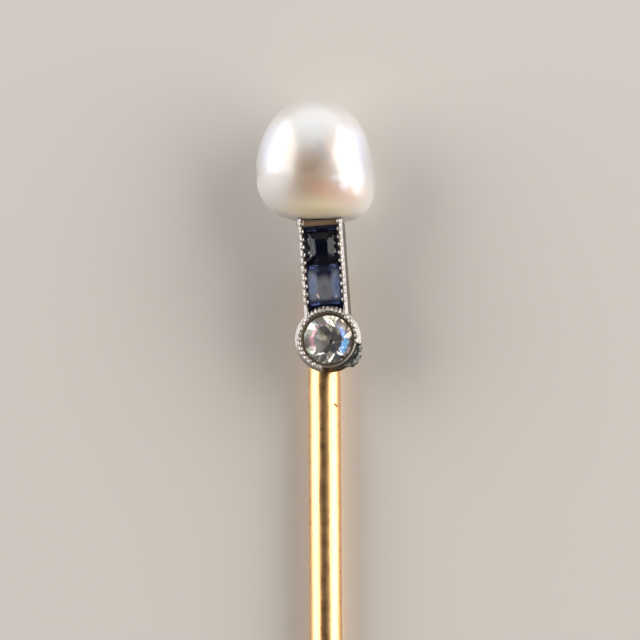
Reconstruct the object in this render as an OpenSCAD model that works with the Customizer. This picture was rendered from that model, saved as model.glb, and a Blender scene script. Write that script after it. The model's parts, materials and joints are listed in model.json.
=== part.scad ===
// A stick pin: a pearl on a leaning platinum bar with two channel-set sapphires, a diamond in a beaded bezel
// and a round gold stem. It lies on its back. X is to the right, Y runs up the stem, Z is up towards the face.
// The origin is on the surface it lies on, under the middle of its length.

/* [Stem] */
// Length of the whole pin, from the point to the top of the pearl
pin_l = 62; // [50:1:75]
// Thickness of the stem
stem_d = 1.3; // [1.15:0.05:1.45]
// Length of the taper that ends in the point
taper_l = 12; // [6:1:18]
// Thickness of the rounded tip
tip_d = 0.2; // [0.12:0.02:0.4]
// How far the stem runs up behind the bar, past the middle of the bezel
stem_rise = 3.2; // [2:0.1:4]
// Thickness of the stem's upper end, filed down behind the head
stem_end_d = 1.1; // [0.9:0.05:1.15]

/* [Head] */
// Lean of the head to the left of the stem, in degrees
head_lean = 3.6; // [0:0.2:7]
// How far the middle of the bezel stands to the right of the stem
head_side = 0.32; // [0:0.02:0.4]
// Depth of the bar and the bezel, from back to face
head_deep = 1.8; // [1.75:0.05:2.2]
// How deep the stem is let into the back of the head
stem_sink = 0.18; // [0.1:0.02:0.24]
// Width of the sloping rim that runs round the outside of the face
rim_w = 0.13; // [0.08:0.01:0.16]
// Drop of the sloping rim from the face to its outer edge
rim_drop = 0.09; // [0.05:0.01:0.12]
// Gap at a seam between two metals and round a stone
seam = 0.02; // [0.01:0.005:0.03]

/* [Bar] */
// Width of the bar
bar_w = 1.8; // [1.7:0.02:2.1]
// Gap in the channel between the bezel and the lower sapphire
corner_gap = 0.07; // [0.05:0.01:0.3]
// Width of each rail of the channel
rail_w = 0.19; // [0.18:0.01:0.24]
// Thickness of the wall that closes the channel below the pearl
end_wall = 0.44; // [0.36:0.02:0.6]
// Depth of the channel
channel_deep = 0.8; // [0.76:0.02:1.1]
// Distance between the beads of a rail
rail_pitch = 0.29; // [0.24:0.01:0.4]
// Size of a bead of a rail
rail_bead_d = 0.19; // [0.14:0.01:0.22]

/* [Bezel] */
// Width of the bezel at its face
bezel_d = 2.7; // [2.64:0.02:2.9]
// Width of the bezel at its back
bezel_back_d = 2.3; // [2.2:0.02:2.5]
// Width of the opening that shows the diamond, at the face
opening_d = 2.2; // [2.16:0.02:2.24]
// Size of a large bead of the bezel
bezel_bead_d = 0.19; // [0.14:0.01:0.22]
// Depth to which the lower right of the bezel is worn back
worn_deep = 0.9; // [0.5:0.05:1.1]
// Size of the largest drop of solder at the lower right of the bezel
solder_d = 0.56; // [0.4:0.02:0.7]

/* [Pearl] */
// Width of the pearl
pearl_w = 4.81; // [4.2:0.01:5.2]
// Height of the pearl above the bar
pearl_h = 4.99; // [4.2:0.01:5.4]
// Depth of the pearl, from front to back
pearl_deep = 4.2; // [4:0.05:4.6]
// Turn of the pearl back from the lean of the bar, in degrees
pearl_turn = 3.9; // [0:0.1:7]
// How far the pearl is set to the left of the bar's middle line
pearl_left = 0.23; // [0:0.01:0.4]
// How far the ridge of the pearl's front and back lies to the right of its middle line
pearl_ridge = 0.19; // [0:0.01:0.4]
// Thickness of the peg that holds the pearl
peg_d = 0.8; // [0.6:0.05:0.9]
// Length of the peg in the pearl
peg_l = 2.2; // [1.4:0.1:3]
// Gap between the peg and the pearl's drilled hole
peg_gap = 0.03; // [0.02:0.005:0.05]

/* [Stones] */
// Width of the diamond
diamond_d = 2; // [1.98:0.01:2.04]
// Depth of the diamond's girdle below the bezel's face
diamond_set = 0.32; // [0.3:0.01:0.34]
// Share of the diamond's width that its table takes
diamond_table = 0.57; // [0.5:0.01:0.62]
// Length of the upper sapphire
upper_l = 1.46; // [1.3:0.02:1.46]
// Length of the lower sapphire
lower_l = 1.58; // [1.4:0.02:1.58]
// Turn of the diamond back from the lean of the bar, in degrees
diamond_turn = 3.9; // [0:0.1:45]
// Depth of the sapphires' girdles below the face of the bar
sapphire_set = 0.26; // [0.24:0.01:0.3]
// Depth of the sapphires below their girdles
pavilion_deep = 0.42; // [0.36:0.01:0.46]

/* [Hidden] */
$fn = 96;

// Places that follow from the sizes
stem_r = stem_d / 2;
channel_w = bar_w - 2 * rail_w;
back_z = stem_d - stem_sink;
face_z = back_z + head_deep;
pearl_z = pearl_deep / 2;
bezel_r = bezel_d / 2;
opening_r = opening_d / 2;
// A cut runs past the face that it opens by this much
past = 0.5;
// The sapphires lie end to end, from the bezel to the wall under the pearl
lower_y = bezel_r + corner_gap + lower_l / 2;
upper_y = lower_y + lower_l / 2 + seam + upper_l / 2;
wall_y = upper_y + upper_l / 2 + seam;
bar_l = wall_y + end_wall;
// The pearl's top is at the upper end of the pin's length
head_top = -pearl_left * sin(head_lean) + bar_l * cos(head_lean) + pearl_h * cos(head_lean - pearl_turn);
head_y = pin_l / 2 - head_top;
// The straight shaft ends a little below the bezel, so that a collar can slide up to it
collar_gap = 0.15;
shaft_top = head_y - bezel_r - collar_gap;
shaft_foot = taper_l - pin_l / 2;
// Beads stand proud of the face and reach over the edge that they line, as shares of their size
bead_proud = 0.35;
bead_over = 0.3;
// The diamond's depth below its girdle, and the room below its tip
diamond_deep = 0.5 * diamond_d;
culet_gap = 0.1;

// The pearl's sections from its base to its top. Height is a share of the pearl's height, left and right are
// shares of half its width, and front and back are shares of half its depth.
// [height, left, right, front, back]
pearl_rows = [
    [0.000, 0.26, 0.50, 0.36, 0.36],
    [0.020, 0.42, 0.71, 0.56, 0.56],
    [0.067, 0.68, 0.85, 0.76, 0.77],
    [0.150, 0.86, 0.96, 0.90, 0.91],
    [0.250, 0.96, 1.00, 0.97, 0.98],
    [0.370, 0.99, 0.99, 1.00, 1.00],
    [0.480, 1.00, 0.96, 0.99, 0.99],
    [0.590, 0.96, 0.92, 0.95, 0.94],
    [0.690, 0.89, 0.86, 0.88, 0.87],
    [0.780, 0.80, 0.76, 0.78, 0.77],
    [0.860, 0.67, 0.64, 0.66, 0.65],
    [0.925, 0.52, 0.48, 0.50, 0.50],
    [0.970, 0.36, 0.32, 0.34, 0.34],
    [0.993, 0.18, 0.15, 0.16, 0.16],
    [1.000, 0.00, 0.00, 0.00, 0.00]
];
pearl_sides = 48;
pearl_steps = 2;

// Runs of beads on the bezel, with angles counted from the right towards the pearl. The rest is worn away.
// [first angle, last angle, number of beads, size as a share of a large bead]
bezel_runs = [
    [-8, 46, 6, 1.00],
    [56, 124, 10, 0.72],
    [134, 247, 12, 1.00]
];
worn_from = -106;
worn_to = -13;
// The lip that the wear has left is this wide
worn_lip = 0.04;
// The lump of solder is made of drops on the bezel's lower right
// [angle, how far it stands out from the bezel's back, drop below the face, size as a share of the lump]
solder_drops = [
    [-21, 0.10, 0.36, 0.60],
    [-33, 0.10, 0.46, 0.84],
    [-45, 0.07, 0.56, 0.96],
    [-56, 0.03, 0.46, 0.62]
];

// The sapphires' tables lie this much below the face of the bar
table_below = 0.04;

// Steps of a sapphire from its table to its keel, as shares: how far the step lies in from the girdle at the
// sides and at the ends, of half the width, and its height, of the depth above or below the girdle
// [in at sides, in at ends, height]
upper_steps = [
    [0.66, 0.62, 1.0],
    [0.17, 0.19, 0.36],
    [0.00, 0.00, 0.06],
    [0.00, 0.00, -0.04],
    [0.06, 0.06, -0.2],
    [0.66, 0.66, -1.0]
];
lower_steps = [
    [0.09, 0.24, 1.0],
    [0.03, 0.10, 0.5],
    [0.00, 0.00, 0.06],
    [0.00, 0.00, -0.04],
    [0.05, 0.08, -0.2],
    [0.50, 0.36, -0.8],
    [0.62, 0.50, -1.0]
];

// A point between rows b and c of a table, on a smooth curve through a, b, c and d
function between(a, b, c, d, t) =
    b + 0.5 * t * ((c - a) + t * ((2 * a - 5 * b + 4 * c - d) + t * (3 * (b - c) + d - a)));

// The row of the pearl's table at a fractional place. Past the top the reaches turn negative, and past the
// base the sections shrink in its plane, so that both ends come out smooth.
function pearl_row(i) =
    i < 0 ? 2 * pearl_rows[0] - pearl_rows[1] :
    i < len(pearl_rows) ? pearl_rows[i] :
    [for (k = [0:4]) k == 0 ? pearl_rows[len(pearl_rows) - 2][0] : -pearl_rows[len(pearl_rows) - 2][k]];
function pearl_at(s) =
    let (i = floor(s))
    between(pearl_row(i - 1), pearl_row(i), pearl_row(i + 1), pearl_row(i + 2), s - i);

// One ring of points round the pearl, clockwise seen from its base
function pearl_ring(row) =
    let (ridge = pearl_ridge * row[3], half_w = pearl_w / 2, half_d = pearl_deep / 2)
    [for (j = [0:pearl_sides - 1])
        let (a = (j + 0.5) * 360 / pearl_sides, c = cos(a), s = sin(a))
        [ridge + c * (c > 0 ? row[2] * half_w - ridge : row[1] * half_w + ridge),
         row[0] * pearl_h,
         s * half_d * (s > 0 ? row[3] : row[4])]];

// One step of a sapphire: a rectangle with its corners cut
function step_ring(half_w, half_l, z) =
    let (cut = 0.18 * half_w, x = half_w - cut, y = half_l - cut)
    [[half_w, -y, z], [half_w, y, z], [x, half_l, z], [-x, half_l, z],
     [-half_w, y, z], [-half_w, -y, z], [-x, -half_l, z], [x, -half_l, z]];

// Points evenly round a circle, the first at half a step where turned is 0.5
function circle_points(r, n, z, turned) =
    [for (j = [0:n - 1]) let (a = (j + turned) * 360 / n) [r * cos(a), r * sin(a), z]];

// A solid through rings of as many points each, with flat ends
module lofted(rings) {
    n = len(rings[0]);
    last = (len(rings) - 1) * n;
    sides = [for (i = [0:len(rings) - 2], j = [0:n - 1])
        let (a = i * n + j, b = i * n + (j + 1) % n)
        each [[a, a + n, b + n], [a, b + n, b]]];
    polyhedron(
        points = [for (ring = rings, p = ring) p],
        faces = concat([[for (j = [0:n - 1]) j]], sides, [[for (j = [n - 1:-1:0]) last + j]])
    );
}

module at_head() {
    translate([head_side, head_y, 0]) rotate([0, 0, head_lean]) children();
}

// The pearl's own place: its base is at Y 0 and its middle line along Y
module pearl_place() {
    translate([-pearl_left, bar_l, pearl_z]) rotate([0, 0, -pearl_turn]) children();
}

// A round piece along Y, from one place to another
module rod(r1, r2, from_y, to_y) {
    translate([0, from_y, 0]) rotate([-90, 0, 0]) cylinder(h = to_y - from_y, r1 = r1, r2 = r2);
}

// The stem's upper end tapers in its groove. grown widens it to cut the groove.
module stem_head(grown) {
    rod(stem_r + grown, stem_end_d / 2 + grown, shaft_top, head_y + stem_rise + grown);
}

module stem() {
    color("goldenrod") translate([0, 0, stem_r]) {
        stem_head(0);
        rod(stem_r, stem_r, shaft_foot, shaft_top);
        rod(tip_d / 2, stem_r, tip_d / 2 - pin_l / 2, shaft_foot);
        translate([0, tip_d / 2 - pin_l / 2, 0]) sphere(r = tip_d / 2);
    }
}

// The bar's section below its face, with a sloping rim along both sides
module bar_section() {
    x = bar_w / 2;
    face_x = x - rim_w;
    polygon([[-x, -head_deep], [x, -head_deep], [x, -rim_drop], [face_x, 0], [-face_x, 0], [-x, -rim_drop]]);
}

// The bar, with its channel cut and a hollow in its end wall under the pearl
module bar() {
    hollow_r = 0.8 * end_wall;
    hollow_rise = 0.1 * hollow_r;
    flare = 0.05;
    flare_l = 0.6 * end_wall;
    difference() {
        union() {
            translate([0, 0, face_z]) rotate([90, 0, 180]) linear_extrude(height = bar_l + past) bar_section();
            for (side = [-1, 1])
                translate([side * (bar_w / 2 + flare - rail_w / 2), 0, face_z - rail_w])
                    rod(rail_w / 2, rail_w / 2, bar_l - flare_l, bar_l + past);
        }
        translate([-channel_w / 2, 0, face_z - channel_deep])
            cube([channel_w, wall_y, channel_deep + past]);
        translate([-channel_w / 2, wall_y + hollow_r, face_z + hollow_rise])
            rotate([0, 90, 0]) cylinder(h = channel_w, r = hollow_r);
    }
}

// The bezel's outer form: a collet that narrows to the back, worn back at the lower right
module collet() {
    wear_foot = bezel_r - (bezel_d - bezel_back_d) / 2 * worn_deep / head_deep;
    wear_lip = opening_r + worn_lip;
    difference() {
        union() {
            translate([0, 0, back_z]) cylinder(h = head_deep - rim_drop, r1 = bezel_back_d / 2, r2 = bezel_r);
            translate([0, 0, face_z - rim_drop]) cylinder(h = rim_drop, r1 = bezel_r, r2 = bezel_r - rim_w);
        }
        rotate([0, 0, worn_from]) rotate_extrude(angle = worn_to - worn_from)
            polygon([[wear_lip, face_z + past], [wear_lip, face_z], [wear_foot, face_z - worn_deep],
                     [bezel_r + past, face_z - worn_deep], [bezel_r + past, face_z + past]]);
    }
}

// The hollow of the bezel: a sloping lip, a groove for the girdle, a bearing and a cup below it
module bezel_hollow() {
    girdle_z = face_z - diamond_set;
    girdle_r = diamond_d / 2;
    groove_r = girdle_r + seam;
    groove_h = 2 * seam;
    lip_r = girdle_r - 0.035;
    lip_h = 3 * seam;
    bearing_r = 0.9 * girdle_r;
    bearing_z = girdle_z - 0.2 * girdle_r;
    cup_r = 0.5 * girdle_r;
    cup_z = girdle_z - diamond_deep - culet_gap;
    rotate_extrude() polygon([
        [0, face_z + past], [opening_r, face_z + past], [opening_r, face_z], [lip_r, girdle_z + lip_h],
        [groove_r, girdle_z + groove_h], [groove_r, girdle_z - groove_h],
        [bearing_r, bearing_z], [cup_r, cup_z], [0, cup_z]
    ]);
}

// Beads along the inner edges of the two rails
module rail_beads() {
    x = channel_w / 2 + (0.5 - bead_over) * rail_bead_d;
    z = face_z + (bead_proud - 0.5) * rail_bead_d;
    first = bezel_r + rail_bead_d;
    run = bar_l - end_wall / 2 - first;
    count = floor(run / rail_pitch);
    for (side = [-1, 1], i = [0:count])
        translate([side * x, first + i * run / count, z]) sphere(r = rail_bead_d / 2);
}

// Beads round the face of the bezel, in runs
module bezel_beads() {
    r = opening_r + (0.5 - bead_over) * bezel_bead_d;
    z = face_z + (bead_proud - 0.5) * bezel_bead_d;
    for (run = bezel_runs, i = [0:run[2] - 1])
        rotate([0, 0, run[0] + i * (run[1] - run[0]) / (run[2] - 1)])
            translate([r, 0, z]) sphere(r = run[3] * bezel_bead_d / 2);
}

// A lump of old solder on the lower right of the bezel
module solder_lump() {
    for (drop = solder_drops)
        rotate([0, 0, drop[0]]) translate([bezel_back_d / 2 + drop[1], 0, face_z - drop[2]])
            sphere(r = drop[3] * solder_d / 2);
}

module setting() {
    color("gainsboro") difference() {
        at_head() {
            difference() {
                bar();
                pearl_place() translate([-bar_w, -seam, -head_deep]) cube([2 * bar_w, bar_w, 2 * head_deep]);
            }
            collet();
            rail_beads();
            bezel_beads();
            solder_lump();
            pearl_place() rod(peg_d / 2, peg_d / 2, -end_wall, peg_l);
        }
        at_head() bezel_hollow();
        translate([0, 0, stem_r]) stem_head(seam);
    }
}

module pearl() {
    last = len(pearl_rows) - 1;
    near_top = last - 0.15;
    rings = concat(
        [for (s = [0:1 / pearl_steps:last - 0.5]) pearl_ring(pearl_at(s))],
        [pearl_ring(pearl_at(near_top))]
    );
    color("seashell") at_head() pearl_place() difference() {
        lofted(rings);
        rod(peg_d / 2 + peg_gap, peg_d / 2 + peg_gap, -past, peg_l + peg_gap);
    }
}

// A step-cut sapphire that fills the channel's width
module step_cut(steps, length) {
    half_w = channel_w / 2 - seam;
    half_l = length / 2;
    crown = sapphire_set - table_below;
    lofted([for (step = steps) step_ring(
        half_w * (1 - step[0]),
        half_l - half_w * step[1],
        step[2] * (step[2] > 0 ? crown : pavilion_deep)
    )]);
}

module sapphire_upper() {
    color("midnightblue") at_head() translate([0, upper_y, face_z - sapphire_set])
        step_cut(upper_steps, upper_l);
}

module sapphire_lower() {
    color("steelblue") at_head() translate([0, lower_y, face_z - sapphire_set])
        step_cut(lower_steps, lower_l);
}

// An old-cut brilliant: eight kites above and eight mains below a thin girdle, with a small flat culet that
// lies a little off the middle
module diamond() {
    r = diamond_d / 2;
    folds = 8;
    half_fold = 180 / folds;
    table_r = diamond_table * r;
    crown = diamond_set - seam;
    girdle = 0.02 * r;
    culet_r = 0.07 * r;
    tip_r = 0.49 * (r + table_r);
    lower_r = 0.55 * r;
    crown_slope = (crown - girdle) / (r - table_r);
    pavilion_slope = (diamond_deep - girdle) / (r - culet_r * cos(half_fold));
    culet_off = [0.07 * r, 0.14 * r] / diamond_deep;
    above = concat(
        circle_points(table_r, folds, crown, 0),
        circle_points(tip_r, folds, girdle + (r - tip_r * cos(half_fold)) * crown_slope, 0.5),
        circle_points(r, 2 * folds, girdle, 0),
        circle_points(r, 2 * folds, -girdle, 0)
    );
    below = concat(
        circle_points(lower_r, folds, -girdle - (r - lower_r * cos(half_fold)) * pavilion_slope, 0.5),
        circle_points(culet_r, folds, -diamond_deep, 0.5)
    );
    leaned = [for (p = below) [p[0] - culet_off[0] * p[2], p[1] - culet_off[1] * p[2], p[2]]];
    points = concat(above, leaned);
    color("whitesmoke") at_head() translate([0, 0, face_z - diamond_set]) rotate([0, 0, -diamond_turn])
        hull() polyhedron(points = points, faces = [for (i = [0:len(points) - 3]) [i, i + 1, i + 2]]);
}

pearl();
setting();
sapphire_upper();
sapphire_lower();
diamond();
stem();
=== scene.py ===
"""The looks of a stick pin: a pearl on a leaning platinum bar with two channel-set sapphires, an old-cut
diamond in a beaded bezel and a round gold stem, lying on its back on a pale floor. Built in metres, in the
CAD frame."""
import json
import math

import bmesh
import bpy
import numpy as np
from mathutils import Matrix, Vector, noise


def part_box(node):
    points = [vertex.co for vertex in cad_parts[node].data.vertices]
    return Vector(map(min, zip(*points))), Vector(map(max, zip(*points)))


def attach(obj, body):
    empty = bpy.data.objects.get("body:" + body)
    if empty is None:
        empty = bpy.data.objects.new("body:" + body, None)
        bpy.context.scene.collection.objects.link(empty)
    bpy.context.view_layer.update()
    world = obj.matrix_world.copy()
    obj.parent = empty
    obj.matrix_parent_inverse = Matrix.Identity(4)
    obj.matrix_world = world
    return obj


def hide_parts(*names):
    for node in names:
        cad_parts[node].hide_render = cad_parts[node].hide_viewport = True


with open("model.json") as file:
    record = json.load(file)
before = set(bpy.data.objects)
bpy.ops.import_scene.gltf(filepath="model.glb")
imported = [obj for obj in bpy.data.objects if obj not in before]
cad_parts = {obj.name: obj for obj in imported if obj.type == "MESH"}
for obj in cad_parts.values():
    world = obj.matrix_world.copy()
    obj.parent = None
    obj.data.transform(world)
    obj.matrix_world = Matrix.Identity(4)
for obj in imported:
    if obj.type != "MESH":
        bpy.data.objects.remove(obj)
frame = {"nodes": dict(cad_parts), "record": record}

bl_info = {
    "name": "Stick Pin Dresser",
    "version": (1, 0, 0),
    "blender": (4, 5, 0),
    "location": "3D View > Sidebar > Stick Pin",
    "description": "Dresses a stick pin in nacre, platinum, gold, sapphire and diamond",
    "category": "Object",
}

MM = 0.001


def linear(hex_colour):
    """An sRGB hex colour as linear red, green and blue."""
    parts = [int(hex_colour[i:i + 2], 16) / 255 for i in (1, 3, 5)]
    return tuple(c / 12.92 if c <= 0.04045 else ((c + 0.055) / 1.055) ** 2.4 for c in parts)


# Places in the frame

def middle(node):
    """The middle of a node's box, in metres."""
    low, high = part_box(node)
    return (low + high) / 2


def extent(node):
    """The size of a node's box, in metres."""
    low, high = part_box(node)
    return high - low


BEZEL = middle("diamond")
BAR_WAY = middle("sapphire_upper") - BEZEL
HEAD_LEAN = math.atan2(-BAR_WAY.x, BAR_WAY.y)
TABLE_BELOW_FACE = 0.02 * MM
FACE_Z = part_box("diamond")[1].z + TABLE_BELOW_FACE
STEM_RADIUS = frame["record"]["mounts"][0]["dims"]["r_mm"] * MM


def in_head(points):
    """Points in metres as millimetres across and along the leaning head and above the bezel's face."""
    cos, sin = math.cos(HEAD_LEAN), math.sin(HEAD_LEAN)
    x, y, z = ((points - np.array([BEZEL.x, BEZEL.y, FACE_Z])) / MM).T
    return np.stack([x * cos + y * sin, y * cos - x * sin, z], axis=1)


# Sizes and colours that a user would change

def a_colour(name, description, hex_colour):
    """A colour that a user would change, whose default is an sRGB hex colour."""
    return bpy.props.FloatVectorProperty(
        name=name, description=description, default=linear(hex_colour), subtype="COLOR", size=3,
        min=0, max=1)


class PearlLooks(bpy.types.PropertyGroup):
    """The pearl's finish"""
    ridge: bpy.props.FloatProperty(
        name="Ridge", description="How far the ridge of the front lies to the right of the middle",
        default=0.19 * MM, unit="LENGTH", precision=5)
    turn: bpy.props.FloatProperty(
        name="Turn", description="Turn of the pearl against the stem",
        default=math.radians(-0.3), subtype="ANGLE")
    peg_radius: bpy.props.FloatProperty(
        name="Hole radius", description="Radius of the drilled hole for the peg",
        default=0.43 * MM, unit="LENGTH", precision=5)
    peg_depth: bpy.props.FloatProperty(
        name="Hole depth", description="Depth of the drilled hole",
        default=2.23 * MM, unit="LENGTH", precision=5)
    body: a_colour("Body", "Colour of the nacre itself", "#D0C9C4")


class SettingLooks(bpy.types.PropertyGroup):
    """The white metal of the head"""
    voxel: bpy.props.FloatProperty(
        name="Grain", description="Size of the grain to which the soldered joints are blended",
        default=0.031 * MM, unit="LENGTH", precision=6)
    metal: a_colour("Platinum", "Colour of clean platinum", "#9F9995")
    # Painted shade: the corners that the ambient occlusion finds are painted this dark brown, with the old
    # polish that sits there
    polish_and_corner_shade: a_colour("Grime", "Colour of the old polish that sits in the corners", "#33261C")
    rim: a_colour("Rims", "Colour of the sloping rims, dulled by wear", "#928D89")
    # Painted highlight: the rubbed tops of the beads and the teeth are lighter than clean platinum
    bead: a_colour("Beads", "Colour of the rubbed tops of the beads", "#C9C1B9")
    # Painted shade: the outer wall on the worn side of the bezel is painted dark
    worn: a_colour("Worn side", "Colour of the worn side of the bezel", "#33241B")
    notch: a_colour("Notches", "Colour of the metal between the beads", "#55433A")
    # Painted shade: the low outer walls are painted darker than the metal
    wall: a_colour("Walls", "Colour of the dull outer walls", "#6E645C")
    # The olive film inside the bezel, painted darker as the shade in the groove round the diamond
    tarnish_and_shade: a_colour("Tarnish", "Colour of the film inside the bezel", "#7A6A4E")
    # Painted reflection and shadow of the pearl: the light brown band on the wall under it
    end: a_colour("End wall", "Colour of the film on the wall under the pearl", "#CDB39B")
    # Painted shade: the navy shadow of the blue stones on the channel's floor
    foot: a_colour("Channel floor", "Colour of the channel's floor beside the blue stones", "#3A4870")
    solder: a_colour("Solder", "Colour of the lump of old solder", "#6C7470")


class StoneLooks(bpy.types.PropertyGroup):
    """The cut stones"""
    dark: a_colour("Upper sapphire", "Colour of light that has passed the dark sapphire", "#3F5595")
    dark_density: bpy.props.FloatProperty(
        name="Upper depth of colour", description="Absorption of the dark sapphire, per metre",
        default=1500, min=0)
    blue: a_colour("Lower sapphire", "Colour of light that has passed the blue sapphire", "#5995DA")
    blue_density: bpy.props.FloatProperty(
        name="Lower depth of colour", description="Absorption of the blue sapphire, per metre",
        default=900, min=0)
    film_left: bpy.props.FloatProperty(
        name="Film on the left", description="Thickness of the oil on the diamond's left, in nanometres",
        default=268, min=0)
    film_right: bpy.props.FloatProperty(
        name="Film on the right", description="Thickness of the oil on the diamond's right, in nanometres",
        default=345, min=0)


class StemLooks(bpy.types.PropertyGroup):
    """The gold stem"""
    taper: bpy.props.FloatProperty(
        name="Taper", description="Length of the taper that ends in the point",
        default=12 * MM, unit="LENGTH", precision=5)
    tip_radius: bpy.props.FloatProperty(
        name="Tip radius", description="Radius of the rounded tip",
        default=0.1 * MM, unit="LENGTH", precision=6)
    end_radius: bpy.props.FloatProperty(
        name="End radius", description="Radius of the end that is filed down behind the head",
        default=0.55 * MM, unit="LENGTH", precision=6)
    end_length: bpy.props.FloatProperty(
        name="End length", description="Length that is filed down behind the head",
        default=4.7 * MM, unit="LENGTH", precision=5)
    gold: a_colour("Gold", "Colour of 15 carat gold", "#F6C68B")
    # Dark colour painted in spots at the nick, where the mesh has no dent
    nick: a_colour("Nick", "Colour of the dirt in the nick", "#33200F")


class StageLooks(bpy.types.PropertyGroup):
    """The floor, the lights and the camera"""
    floor: a_colour("Floor", "Colour of the pale floor", "#D4D0CA")
    light: bpy.props.FloatProperty(
        name="Softbox radiance", description="Brightness of the two soft lights", default=3.0, min=0)
    ceiling: bpy.props.FloatProperty(
        name="Ceiling", description="Brightness of the dim room overhead", default=0.085, min=0)
    walls: bpy.props.FloatProperty(
        name="Walls", description="Brightness of the room near the horizon", default=0.9, min=0)
    far_wall: bpy.props.FloatProperty(
        name="Far wall", description="Further brightness of the room past the pearl", default=0.12, min=0)
    spill: bpy.props.FloatProperty(
        name="Spill", description="Brightness that the right lamp adds to the ceiling", default=0.3, min=0)
    tilt: bpy.props.FloatProperty(
        name="Camera tilt", description="Lean of the camera from straight above towards the point",
        default=math.radians(7), subtype="ANGLE")
    side: bpy.props.FloatProperty(
        name="Camera side", description="Lean of the camera from straight above to the right",
        default=math.radians(4.5), subtype="ANGLE")
    roll: bpy.props.FloatProperty(
        name="Camera roll", description="Turn of the picture",
        default=math.radians(0.35), subtype="ANGLE")
    distance: bpy.props.FloatProperty(
        name="Camera distance", description="Distance from the bezel to the camera",
        default=140 * MM, unit="LENGTH")
    view_width: bpy.props.FloatProperty(
        name="View width", description="Width of the picture at the bezel's face",
        default=25.6 * MM, unit="LENGTH", precision=5)


# Making meshes

def mesh_object(name, points, faces, smooth=True):
    """An object from points in metres and faces."""
    mesh = bpy.data.meshes.new(name)
    mesh.from_pydata(np.asarray(points).tolist(), [], faces)
    mesh.update()
    mesh.polygons.foreach_set("use_smooth", [smooth] * len(mesh.polygons))
    obj = bpy.data.objects.new(name, mesh)
    bpy.context.scene.collection.objects.link(obj)
    return obj


def points_of(mesh):
    """A mesh's points as rows of numbers."""
    points = np.zeros(len(mesh.vertices) * 3)
    mesh.vertices.foreach_get("co", points)
    return points.reshape(-1, 3)


def normals_of(mesh):
    """A mesh's normals at its points."""
    normals = np.zeros(len(mesh.vertices) * 3, np.float32)
    mesh.vertex_normals.foreach_get("vector", normals)
    return normals.reshape(-1, 3).astype(float)


def move_points(mesh, points):
    """Puts a mesh's points elsewhere."""
    mesh.vertices.foreach_set("co", points.astype(np.float32).ravel())
    mesh.update()


def rings_to_faces(rings, sides):
    """Faces of a tube of rings, closed by fans to the point before the rings and the one after them."""
    faces = []
    for i in range(rings - 1):
        for j in range(sides):
            a, b = 1 + i * sides + j, 1 + i * sides + (j + 1) % sides
            faces.append((a, b, b + sides, a + sides))
    last = 1 + (rings - 1) * sides
    for j in range(sides):
        faces.append((0, 1 + (j + 1) % sides, 1 + j))
        faces.append((last + j, last + (j + 1) % sides, last + sides))
    return faces


def ripple(points, wavelength, seed):
    """Smooth noise from -1 to 1 at points in metres, with that wavelength in metres."""
    shift = Vector((seed * 17.3, seed * 5.1, seed * 9.7))
    return np.array([noise.noise(Vector(p) / wavelength + shift) for p in points])


def node_mesh_mm(node, name):
    """A copy of a node's mesh in millimetres, with its corners joined and its own shading left off."""
    mesh = frame["nodes"][node].data.copy()
    mesh.name = name
    if "custom_normal" in mesh.attributes:
        mesh.attributes.remove(mesh.attributes["custom_normal"])
    mesh.transform(Matrix.Scale(1 / MM, 4))
    mesh.materials.clear()
    work = bmesh.new()
    work.from_mesh(mesh)
    bmesh.ops.remove_doubles(work, verts=work.verts, dist=0.0005)
    work.to_mesh(mesh)
    work.free()
    return mesh


def worked(mesh, name, modifiers):
    """The object that a mesh in millimetres becomes after modifiers, back in metres. Each modifier is its
    kind and its settings."""
    rough = bpy.data.objects.new(name + "_rough", mesh)
    bpy.context.scene.collection.objects.link(rough)
    for kind, settings in modifiers:
        modifier = rough.modifiers.new(kind.lower(), kind)
        for key, value in settings.items():
            setattr(modifier, key, value)
    finished = bpy.data.meshes.new_from_object(rough.evaluated_get(bpy.context.evaluated_depsgraph_get()))
    bpy.data.objects.remove(rough)
    bpy.data.meshes.remove(mesh)
    finished.name = name
    finished.transform(Matrix.Scale(MM, 4))
    obj = bpy.data.objects.new(name, finished)
    bpy.context.scene.collection.objects.link(obj)
    return obj


def stand_for(obj, node, material):
    """Puts a finished piece in a node's place."""
    obj.data.materials.clear()
    obj.data.materials.append(material)
    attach(obj, "root")
    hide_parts(node)


# Making materials

def add_node(tree, kind, inputs=None, stops=None, **settings):
    """Adds a node with its settings. inputs maps a socket's name or place to a value or to a socket to
    link, and stops are a ramp's places and colours."""
    node = tree.nodes.new(kind)
    for key, value in settings.items():
        setattr(node, key, value)
    for key, value in (inputs or {}).items():
        if isinstance(value, bpy.types.NodeSocket):
            tree.links.new(value, node.inputs[key])
        else:
            node.inputs[key].default_value = value
    for i, (place, colour) in enumerate(stops or []):
        if i >= len(node.color_ramp.elements):
            node.color_ramp.elements.new(place)
        node.color_ramp.elements[i].position = place
        node.color_ramp.elements[i].color = (*colour, 1)
    return node


def new_material(name):
    """An empty material with its output, and its node tree."""
    material = bpy.data.materials.new(name)
    material.use_nodes = True
    tree = material.node_tree
    tree.nodes.clear()
    output = tree.nodes.new("ShaderNodeOutputMaterial")
    return material, tree, output


def patch(tree, place, centre, reach):
    """A soft round mask that is 1 at centre and 0 past reach, in the units of place."""
    off = add_node(tree, "ShaderNodeVectorMath", {0: place, 1: centre}, operation="SUBTRACT").outputs[0]
    scaled = add_node(tree, "ShaderNodeVectorMath", {0: off, 1: reach}, operation="DIVIDE").outputs[0]
    length = add_node(tree, "ShaderNodeVectorMath", {0: scaled}, operation="LENGTH").outputs["Value"]
    return add_node(
        tree, "ShaderNodeMapRange", {"Value": length, "From Min": 1, "From Max": 0.1},
        interpolation_type="SMOOTHSTEP").outputs[0]


def mix_colour(tree, factor, below, above):
    """The colour above laid over the colour below by factor."""
    inputs = {0: factor, 6: below, 7: above}
    return add_node(tree, "ShaderNodeMix", inputs, data_type="RGBA").outputs[2]


# Pearl

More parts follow.
